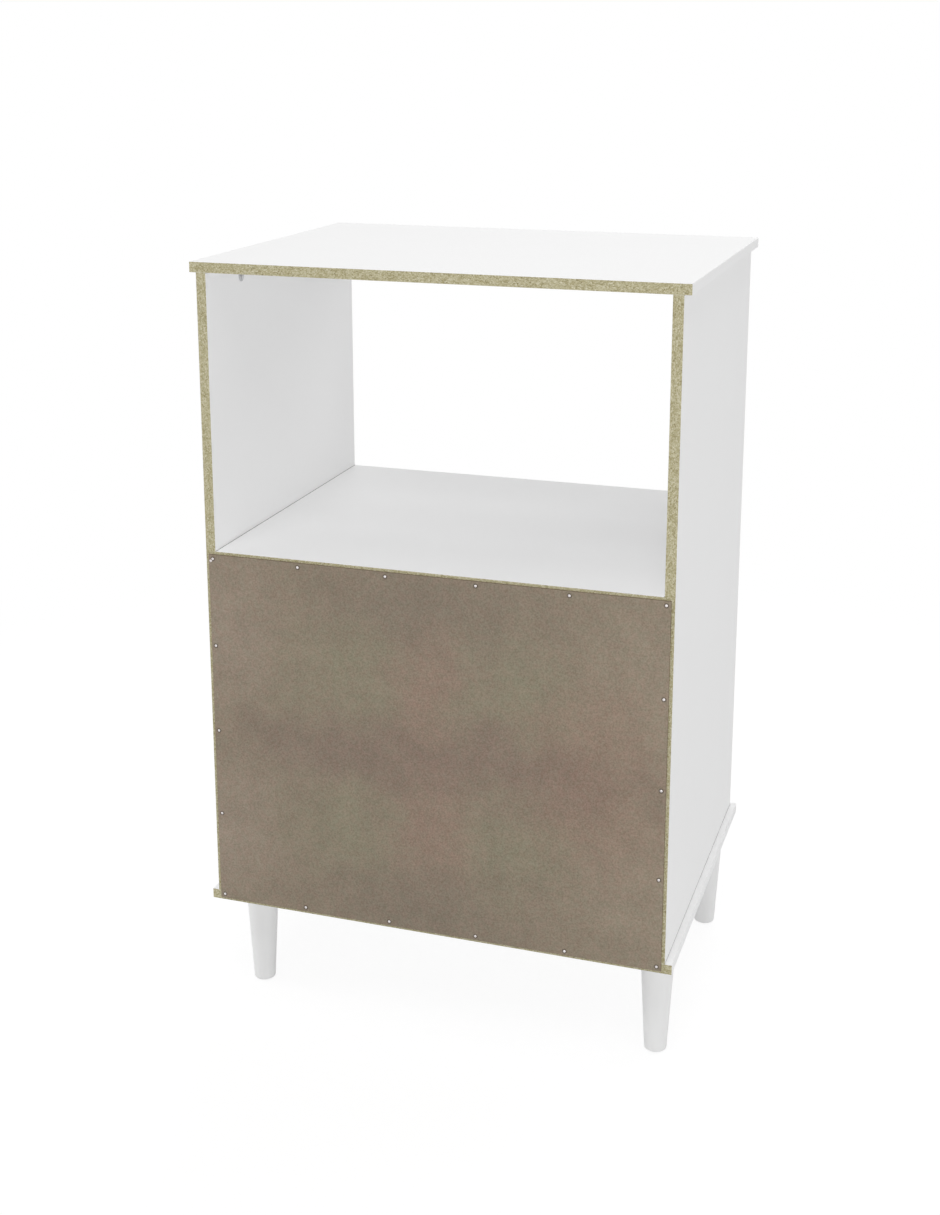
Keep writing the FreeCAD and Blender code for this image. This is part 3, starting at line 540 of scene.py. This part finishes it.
def repeated_piece(name, rings, places, axes, body, material, node):
    """One mesh of a turned shape set at many places: each copy's Z axis is turned to its own axis,
    and each copy a golden angle further about it than the last, so a point goes to its place plus
    x, y and z times three square directions."""
    count, sides = rings.shape[:2]
    points = rings.reshape(-1, 3)
    axes = np.broadcast_to(np.asarray(axes, float), (len(places), 3))
    square = np.where(np.abs(axes[:, 2:]) > ALONG_SHARE, [1.0, 0.0, 0.0], [0.0, 0.0, 1.0])
    angle = GOLDEN_ANGLE * np.arange(len(places))[:, None]
    across = np.cos(angle) * square + np.sin(angle) * np.cross(axes, square)
    turns = np.stack([across, np.cross(axes, across), axes], axis=1)
    copies = np.einsum("pk,ckj->cpj", points, turns) + np.asarray(places)[:, None, :]
    quads, caps = ring_faces(count, sides)
    shift = np.arange(len(places))[:, None, None] * len(points)
    faces = (quads + shift).reshape(-1, 4).tolist() + (caps + shift).reshape(-1, sides).tolist()
    mesh = bpy.data.meshes.new(name)
    mesh.from_pydata(copies.reshape(-1, 3).tolist(), [], faces)
    mesh.shade_smooth()
    mesh.materials.append(material)
    piece = bpy.data.objects.new(name, mesh)
    bpy.context.scene.collection.objects.link(piece)
    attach(piece, body)
    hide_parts(node)


def nail_rings(head_height, length):
    """Nail outline: a dome that falls with the square of the radius to a thin rim, then the flat
    under the head, the shank and the point."""
    shank = [NAIL_HEAD_RADIUS, NAIL_RADIUS, NAIL_RADIUS, NAIL_TIP_SHARE * NAIL_RADIUS]
    radii = np.concatenate([NAIL_HEAD_RADIUS * DOME_SHARES, shank])
    domed = NAIL_RIM + (head_height - NAIL_RIM) * (1 - DOME_SHARES ** 2)
    heights = np.concatenate([domed, [0.0, 0.0, -length * (1 - NAIL_POINT_SHARE), -length]])
    return turned_rings(radii, heights, ROUND_SIDES)


def back_nail_places(face):
    """Nail places on the sheet: the rim points of an even grid, and the corner's second nail."""
    low, high = corners("back_panel")
    across = np.linspace(low[0] + NAIL_EDGE, high[0] - NAIL_EDGE, NAILS_ACROSS)
    up = np.linspace(low[2] + NAIL_EDGE, high[2] - NAIL_EDGE, NAILS_UP)
    grid_x, grid_z = np.meshgrid(across, up)
    at_sides = np.abs(grid_x) > across[-1] - NAIL_EDGE
    at_ends = (grid_z < up[0] + NAIL_EDGE) | (grid_z > up[-1] - NAIL_EDGE)
    rim = at_sides | at_ends
    spare = [across[-1] + SPARE_NAIL_SHIFT, up[-1] - SPARE_NAIL_SHIFT]
    flat = np.concatenate([np.stack([grid_x[rim], grid_z[rim]], axis=-1), [spare]])
    return np.insert(flat, 1, face, axis=1)


nail_low, nail_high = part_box("back_nails")
back_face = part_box("back_panel")[1].y
back_nail = nail_rings(nail_high.y - back_face, back_face - nail_low.y)
nail_steel = metal_finish("nail_steel", NAIL_STEEL, NAIL_STEEL_DULL, NAIL_ROUGHNESS)
repeated_piece("domed_back_nails", back_nail, back_nail_places(back_face), (0, 1, 0), "cabinet",
               nail_steel, "back_nails")

# Leg fittings: a pressed steel plate is screwed under each corner of the bottom panel, and a hanger
# bolt in the leg screws into the plate's collar. The screws have round heads with a cross recess.
LEGS = [f"{row}_{side}" for row in ("front", "rear") for side in ("left", "right")]
SCREW_HEAD_RADIUS = 0.0036
SCREW_HEAD_HEIGHT = 0.0020
SCREW_RADIUS = 0.00175
SCREW_LENGTH = 0.012
SCREW_PITCH = 0.0014
SCREW_CORE_SHARE = 0.68
SCREW_TIP_PITCHES = 3
SCREW_TIP_SHARE = 0.08
SCREW_SIDES = 48
ROWS_PER_PITCH = 5
# Rings of a head as shares of its radius, close together over the recess and near the rim.
HEAD_SHARES = np.concatenate([np.linspace(0.03, 0.66, 12), [0.8, 0.9, 0.96, 1.0]])[:, None]
CROWN_FALL = 0.92
CROWN_POWER = 4
RECESS_RADIUS = 0.0021
RECESS_DEPTH = 0.0013
RECESS_ARM = 0.00045
RECESS_SIDE_SLOPE = 0.5
RECESS_END_SLOPE = 0.25
RECESS_RISE = 0.5
SCREW_ROUGHNESS = 0.28
PLATE_SCREW_INSET = 0.007


def screw_rings(head_radius, head_height, radius, length, pitch):
    """Screw outline from the top of the head down. The head is a quarter of a superellipse, sunk
    where the nearer of the two cross arms is within its half width; the shank's radius follows a
    saw-tooth of height over pitch less turns, so that the ridge winds round, and narrows to a tip."""
    angle = np.linspace(0, 2 * np.pi, SCREW_SIDES, endpoint=False)
    radii = np.broadcast_to(head_radius * HEAD_SHARES, (len(HEAD_SHARES), SCREW_SIDES))
    crown = head_height * np.sqrt(1 - CROWN_FALL * HEAD_SHARES ** CROWN_POWER)
    arm = np.minimum(np.abs(radii * np.cos(angle)), np.abs(radii * np.sin(angle)))
    in_arm = np.clip((RECESS_ARM - arm) / (RECESS_SIDE_SLOPE * RECESS_ARM) + 0.5, 0, 1)
    in_reach = np.clip((RECESS_RADIUS - radii) / (RECESS_END_SLOPE * RECESS_RADIUS) + 0.5, 0, 1)
    head = crown - RECESS_DEPTH * in_arm * in_reach * (1 - RECESS_RISE * radii / RECESS_RADIUS)
    rows = int(length / pitch * ROWS_PER_PITCH)
    down = np.linspace(0, length, rows)[:, None]
    ridge = np.abs((down / pitch - angle / (2 * np.pi)) % 1 - 0.5) * 2
    taper = np.clip((length - down) / (SCREW_TIP_PITCHES * pitch), SCREW_TIP_SHARE, 1)
    shank = radius * taper * (SCREW_CORE_SHARE + (1 - SCREW_CORE_SHARE) * ridge ** 2)
    under = np.full((1, SCREW_SIDES), head_radius)
    heights = np.concatenate([head, 0 * under, np.broadcast_to(-down, shank.shape)])
    return turned_rings(np.concatenate([radii, under, shank]), heights, SCREW_SIDES)


wood_screw = screw_rings(SCREW_HEAD_RADIUS, SCREW_HEAD_HEIGHT, SCREW_RADIUS, SCREW_LENGTH, SCREW_PITCH)
screw_steel = metal_finish("screw_steel", BRIGHT_PLATE, DULL_PLATE, SCREW_ROUGHNESS)


def cross_head_screws(name, rings, places, axes, body, node):
    """Screws of one outline, seated at their places along their axes, in place of a CAD node."""
    repeated_piece(name, rings, places, axes, body, screw_steel, node)


plate_seats = []
for leg_name in LEGS:
    low, high = corners(leg_name + "_leg_plate")
    seat_x, seat_y = np.meshgrid([low[0] + PLATE_SCREW_INSET, high[0] - PLATE_SCREW_INSET],
                                 [low[1] + PLATE_SCREW_INSET, high[1] - PLATE_SCREW_INSET])
    seats = np.stack([seat_x, seat_y, np.full_like(seat_x, low[2])], axis=-1)
    plate_seats.append(seats.reshape(-1, 3))
cross_head_screws("cross_head_plate_screws", wood_screw, np.concatenate(plate_seats), (0, 0, -1),
                  "cabinet", "leg_plate_screws")
dress(plated_steel, "leg_bolts", *[leg_name + "_leg_plate" for leg_name in LEGS])

# Legs: turned from solid wood, tapered to the foot, and sprayed with white lacquer that fills the
# grain. A plastic glide with its own nail is knocked into each foot.
LACQUER = (0.895, 0.895, 0.892, 1.0)
LACQUER_WAVES = 420.0
LACQUER_GLOSS = 0.15
LACQUER_ROUGHNESS = 0.36
LACQUER_SPREAD = 0.15
LACQUER_RELIEF = 0.00001
GLIDE_PLASTIC = (0.74, 0.74, 0.72, 1.0)
GLIDE_ROUGHNESS = 0.5
GLIDE_RELIEF = 0.00002


def sprayed_finish(name, colour, waves, roughness, relief):
    """Sprayed or moulded skin: one colour with a soft drift, stippled all over."""
    material, tree, shader = new_material(name)
    place = step(tree, "TexCoord").outputs["Object"]
    skin = stippled(tree, place, waves, roughness, LACQUER_SPREAD, relief)
    tree.links.new(tinted(tree, colour, skin["Shade"]), shader["Base Color"])
    tree.links.new(skin["Roughness"], shader["Roughness"])
    shader["Specular IOR Level"].default_value = LACQUER_GLOSS
    raised(tree, shader, skin["Height"])
    return material


leg_lacquer = sprayed_finish("leg_lacquer", LACQUER, LACQUER_WAVES, LACQUER_ROUGHNESS, LACQUER_RELIEF)
glide_plastic = sprayed_finish("glide_plastic", GLIDE_PLASTIC, LACQUER_WAVES, GLIDE_ROUGHNESS,
                               GLIDE_RELIEF)
dress(leg_lacquer, *[leg_name + "_leg" for leg_name in LEGS])
dress(glide_plastic, "leg_glides")

# Inner shelf: a loose board of the same white-faced chipboard, banded on its front edge only. It
# lies on four plated pegs pushed into the sides.
board_finish("inner_shelf", "Z", FRONT_END, REAR_END + SIDE_ENDS, [])
dress(plated_steel, "shelf_pins")

# Concealed hinges: a cross plate screwed to the side, a cranked arm on its rail, and a drawn cup in
# the door, which turns on a pin through the eye of the arm. All are nickel-plated steel, and a
# short screw clamps the arm on its rail.
NICKEL = (0.78, 0.77, 0.75, 1.0)
NICKEL_DULL = (0.62, 0.61, 0.59, 1.0)
NICKEL_ROUGHNESS = 0.24
NICKEL_SPREAD = 0.12
WING_SCREW_HALF_PITCH = 0.016
WING_SETBACK = 0.037
WING_THICKNESS = 0.002
ARM_FACE = 0.010
ARM_SCREW_FROM_END = 0.010
ARM_SCREW_LENGTH = 0.0085
EAR_HALF_PITCH = 0.024
INWARD = {"left": 1, "right": -1}

nickel = metal_finish("nickel_plate", NICKEL, NICKEL_DULL, NICKEL_ROUGHNESS, NICKEL_SPREAD)
clamp_screw = screw_rings(SCREW_HEAD_RADIUS, SCREW_HEAD_HEIGHT, SCREW_RADIUS, ARM_SCREW_LENGTH,
                          SCREW_PITCH)
wing_seats = []
arm_seats = []
inward_axes = []
for side, inward in INWARD.items():
    side_low, side_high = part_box(side + "_side_panel")
    inner_face = side_high.x if inward > 0 else side_low.x
    cup_low, cup_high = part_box(side + "_cup_screws")
    ear_x = (cup_low.x + cup_high.x) / 2
    ear_y = cup_high.y - SCREW_HEAD_HEIGHT
    cup_seats = []
    for level in ("upper", "lower"):
        hinge = f"{side}_{level}_hinge_"
        dress(nickel, *[hinge + piece for piece in ("plate", "arm", "cup", "pin")])
        arm_low, arm_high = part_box(hinge + "arm")
        middle_z = (arm_low.z + arm_high.z) / 2
        arm_seats.append((inner_face + inward * ARM_FACE, arm_high.y - ARM_SCREW_FROM_END, middle_z))
        inward_axes.append((inward, 0, 0))
        for up in (-1, 1):
            wing_seats.append((inner_face + inward * WING_THICKNESS, side_low.y + WING_SETBACK,
                               middle_z + up * WING_SCREW_HALF_PITCH))
            cup_seats.append((ear_x, ear_y, middle_z + up * EAR_HALF_PITCH))
    cross_head_screws(side + "_cross_head_cup_screws", wood_screw, cup_seats, (0, 1, 0),
                      side + "_door", side + "_cup_screws")
cross_head_screws("cross_head_wing_screws", wood_screw, wing_seats, np.repeat(inward_axes, 2, axis=0),
                  "cabinet", "hinge_plate_screws")
cross_head_screws("cross_head_clamp_screws", clamp_screw, arm_seats, inward_axes,
                  "cabinet", "hinge_plate_screws")

# Doors: white-faced chipboard like the carcass, banded on all four edges and hung on the hinges,
# flush between the sides. The chips show only inside the bores.
for side in INWARD:
    board_finish(side + "_door", "Y", SIDE_ENDS + UPRIGHT_ENDS, [], [])

# Door knobs: turned from aluminium bar, with fine tool rings round their axis, and each held by one
# machine screw from inside the door.
ALUMINIUM = (0.70, 0.70, 0.71, 1.0)
ALUMINIUM_DULL = (0.56, 0.56, 0.57, 1.0)
RING_WAVES = 2600.0
RING_SPAN = (0.2, 0.8)
RING_ROUGHNESS = (0.26, 0.4)
RING_RELIEF = 0.000006
KNOB_SCREW_HEAD_RADIUS = 0.004
KNOB_SCREW_HEAD_HEIGHT = 0.0024
KNOB_SCREW_RADIUS = 0.002
KNOB_SCREW_LENGTH = 0.027
KNOB_SCREW_PITCH = 0.0007


def turned_finish(name, axis_x, axis_z):
    """Turned metal: tone, roughness and height follow one noise of the distance from the axis,
    which runs along Y."""
    material, tree, shader = new_material(name)
    place = step(tree, "TexCoord").outputs["Object"]
    off = reckon_vector(tree, "SUBTRACT", place, (axis_x, 0.0, axis_z))
    radius = reckon_vector(tree, "LENGTH", reckon_vector(tree, "MULTIPLY", off, (1.0, 0.0, 1.0)))
    feeds = {"W": radius, "Scale": RING_WAVES, "Detail": 2.0}
    ring = step(tree, "TexNoise", feeds, noise_dimensions="1D").outputs[0]
    tone = ramped(tree, ring, *NOISE_SPAN)
    tree.links.new(mixed(tree, tone, ALUMINIUM, ALUMINIUM_DULL), shader["Base Color"])
    tree.links.new(ramped(tree, ring, *RING_SPAN, *RING_ROUGHNESS), shader["Roughness"])
    raised(tree, shader, reckon(tree, "MULTIPLY", ring, RING_RELIEF))
    shader["Metallic"].default_value = 1.0
    return material


knob_screw = screw_rings(KNOB_SCREW_HEAD_RADIUS, KNOB_SCREW_HEAD_HEIGHT, KNOB_SCREW_RADIUS,
                         KNOB_SCREW_LENGTH, KNOB_SCREW_PITCH)
for side in INWARD:
    knob_low, knob_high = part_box(side + "_knob")
    knob_x = (knob_low.x + knob_high.x) / 2
    knob_z = (knob_low.z + knob_high.z) / 2
    knob_seat = (knob_x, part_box(side + "_door")[1].y, knob_z)
    dress(turned_finish(side + "_knob_finish", knob_x, knob_z), side + "_knob")
    cross_head_screws(side + "_cross_head_knob_screw", knob_screw, [knob_seat], (0, 1, 0),
                      side + "_door", side + "_knob_screw")

# Magnet catches: a white moulded case under the niche shelf holds a ferrite magnet between two steel
# poles, which meet a steel strike plate screwed to the door.
CASE_PLASTIC = (0.84, 0.84, 0.83, 1.0)
CASE_ROUGHNESS = 0.45
CASE_RELIEF = 0.00001
FERRITE = (0.045, 0.045, 0.05, 1.0)
FERRITE_ROUGHNESS = 0.6
FERRITE_RELIEF = 0.00002
CASE_EAR = 0.011
CASE_EAR_THICKNESS = 0.003
CASE_SCREW_PITCH = 0.041

case_plastic = sprayed_finish("case_plastic", CASE_PLASTIC, LACQUER_WAVES, CASE_ROUGHNESS, CASE_RELIEF)
ferrite = sprayed_finish("ferrite", FERRITE, SCUFF_WAVES, FERRITE_ROUGHNESS, FERRITE_RELIEF)
dress(case_plastic, "magnet_catches")
dress(ferrite, "catch_magnets")
dress(plated_steel, "catch_poles", "left_strike_plate", "right_strike_plate")
case_low, case_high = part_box("magnet_catches")
case_y = (case_low.y + case_high.y) / 2
outer_seat = case_high.x - CASE_EAR / 2
case_seats = [(inward * reach, case_y, case_high.z - CASE_EAR_THICKNESS)
              for inward in INWARD.values() for reach in (outer_seat, outer_seat - CASE_SCREW_PITCH)]
cross_head_screws("cross_head_case_screws", wood_screw, case_seats, (0, 0, -1),
                  "cabinet", "catch_screws")
for side in INWARD:
    strike_low, strike_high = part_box(side + "_strike_plate")
    strike_x = (strike_low.x + strike_high.x) / 2
    strike_z = (strike_low.z + strike_high.z) / 2
    cross_head_screws(side + "_cross_head_strike_screw", wood_screw, [(strike_x, strike_high.y, strike_z)],
                      (0, 1, 0), side + "_door", side + "_strike_screw")

# Floor, light and camera: a pale floor in an even white studio with large softboxes, seen from
# behind the cabinet's left side and from a little above its top.
FLOOR_HALF = 15.0
FLOOR_COLOUR = (0.80, 0.80, 0.80, 1.0)
SHADOW_GREY = (0.16, 0.16, 0.16, 1.0)
SHADOW_GLOW = 0.88
SHADOW_REACH = (1.1, 2.2)
BACKDROP_WHITE = (1.0, 1.0, 1.0, 1.0)
SKY_STRENGTH = 0.465
SOFTBOX_SIZE = (2.6, 1.8)
SOFTBOX_DISTANCE = 5.0
SOFTBOX_AIM = np.array([0.0, 0.0, 0.7])
# Softboxes by name, azimuth and elevation in degrees, and power in watts.
SOFTBOXES = [
    ("front_softbox", 0, 55, 46.0),
    ("front_left_softbox", 315, 30, 20.0),
    ("right_softbox", 100, 3, 67.0),
    ("rear_high_softbox", 180, 55, 52.0),
    ("rear_low_softbox", 200, 5, 20.0),
    ("rear_left_softbox", 225, 3, 36.0),
    ("overhead_softbox", 225, 72, 22.0),
]
CAMERA_PLACE = (-0.76169, 2.41905, 1.47629)
CAMERA_YAW = 0.3170
CAMERA_PITCH = 0.2335
FOCAL_PIXELS = 1686.0
PHOTO_WIDTH = 940
PHOTO_HEIGHT = 1215
CENTRE_PIXEL = (471.5, 440.1)
SENSOR = 36.0


def seen_directly(tree):
    """1 for rays from the camera and for those that mirror or pass through, 0 for scattered light."""
    rays = step(tree, "LightPath").outputs
    seen = reckon(tree, "MAXIMUM", rays["Is Camera Ray"], rays["Is Glossy Ray"])
    return reckon(tree, "MAXIMUM", seen, rays["Is Transmission Ray"])


def floor_finish():
    """Plain pale floor to scattered light. Seen directly it is white, and takes a soft shadow near
    the object that fades out further off."""
    material = bpy.data.materials.new("floor")
    material.use_nodes = True
    tree = material.node_tree
    tree.nodes.remove(tree.nodes["Principled BSDF"])
    plain = step(tree, "BsdfDiffuse", {"Color": FLOOR_COLOUR}).outputs[0]
    shadow = step(tree, "BsdfDiffuse", {"Color": SHADOW_GREY}).outputs[0]
    glow = step(tree, "Emission", {"Color": BACKDROP_WHITE, "Strength": SHADOW_GLOW}).outputs[0]
    near = step(tree, "AddShader", {0: shadow, 1: glow}).outputs[0]
    far = step(tree, "Emission", {"Color": BACKDROP_WHITE, "Strength": 1.0}).outputs[0]
    off_middle = reckon_vector(tree, "LENGTH", step(tree, "TexCoord").outputs["Object"])
    shown = step(tree, "MixShader", {0: ramped(tree, off_middle, *SHADOW_REACH), 1: near, 2: far}).outputs[0]
    surface = step(tree, "MixShader", {0: seen_directly(tree), 1: plain, 2: shown}).outputs[0]
    tree.links.new(surface, tree.nodes["Material Output"].inputs["Surface"])
    return material


floor_mesh = bpy.data.meshes.new("floor")
floor_corners = [(x * FLOOR_HALF, y * FLOOR_HALF, 0) for x, y in ((-1, -1), (1, -1), (1, 1), (-1, 1))]
floor_mesh.from_pydata(floor_corners, [], [(0, 1, 2, 3)])
floor_mesh.materials.append(floor_finish())
floor = bpy.data.objects.new("floor", floor_mesh)
bpy.context.scene.collection.objects.link(floor)

world = bpy.data.worlds.new("studio")
bpy.context.scene.world = world
world.use_nodes = True
tree = world.node_tree
sky = step(tree, "Background", {"Color": BACKDROP_WHITE, "Strength": SKY_STRENGTH}).outputs[0]
backdrop = step(tree, "Background", {"Color": BACKDROP_WHITE, "Strength": 1.0}).outputs[0]
studio = step(tree, "MixShader", {0: seen_directly(tree), 1: sky, 2: backdrop}).outputs[0]
tree.links.new(studio, tree.nodes["World Output"].inputs["Surface"])

for lamp_name, azimuth, elevation, power in SOFTBOXES:
    lamp = bpy.data.lights.new(lamp_name, "AREA")
    lamp.shape = "RECTANGLE"
    lamp.size, lamp.size_y = SOFTBOX_SIZE
    lamp.energy = power
    softbox = bpy.data.objects.new(lamp_name, lamp)
    turn = math.radians(azimuth)
    rise = math.radians(elevation)
    level = np.array([math.sin(turn), -math.cos(turn), 0.0])
    outward = math.cos(rise) * level + np.array([0.0, 0.0, math.sin(rise)])
    softbox.location = SOFTBOX_AIM + SOFTBOX_DISTANCE * outward
    softbox.rotation_euler = (math.pi / 2 - rise, 0, turn)
    softbox.visible_camera = False
    bpy.context.scene.collection.objects.link(softbox)

# The sensor spans the picture's longer side, its height.
camera_data = bpy.data.cameras.new("camera")
camera_data.sensor_width = SENSOR
camera_data.lens = FOCAL_PIXELS / PHOTO_HEIGHT * SENSOR
camera_data.shift_x = (PHOTO_WIDTH / 2 - CENTRE_PIXEL[0]) / PHOTO_HEIGHT
camera_data.shift_y = (CENTRE_PIXEL[1] - PHOTO_HEIGHT / 2) / PHOTO_HEIGHT
camera = bpy.data.objects.new("camera", camera_data)
camera.location = CAMERA_PLACE
camera.rotation_euler = (math.pi / 2 - CAMERA_PITCH, 0, math.pi + CAMERA_YAW)
bpy.context.scene.collection.objects.link(camera)
bpy.context.scene.camera = camera
bpy.context.scene.view_settings.view_transform = "Standard"
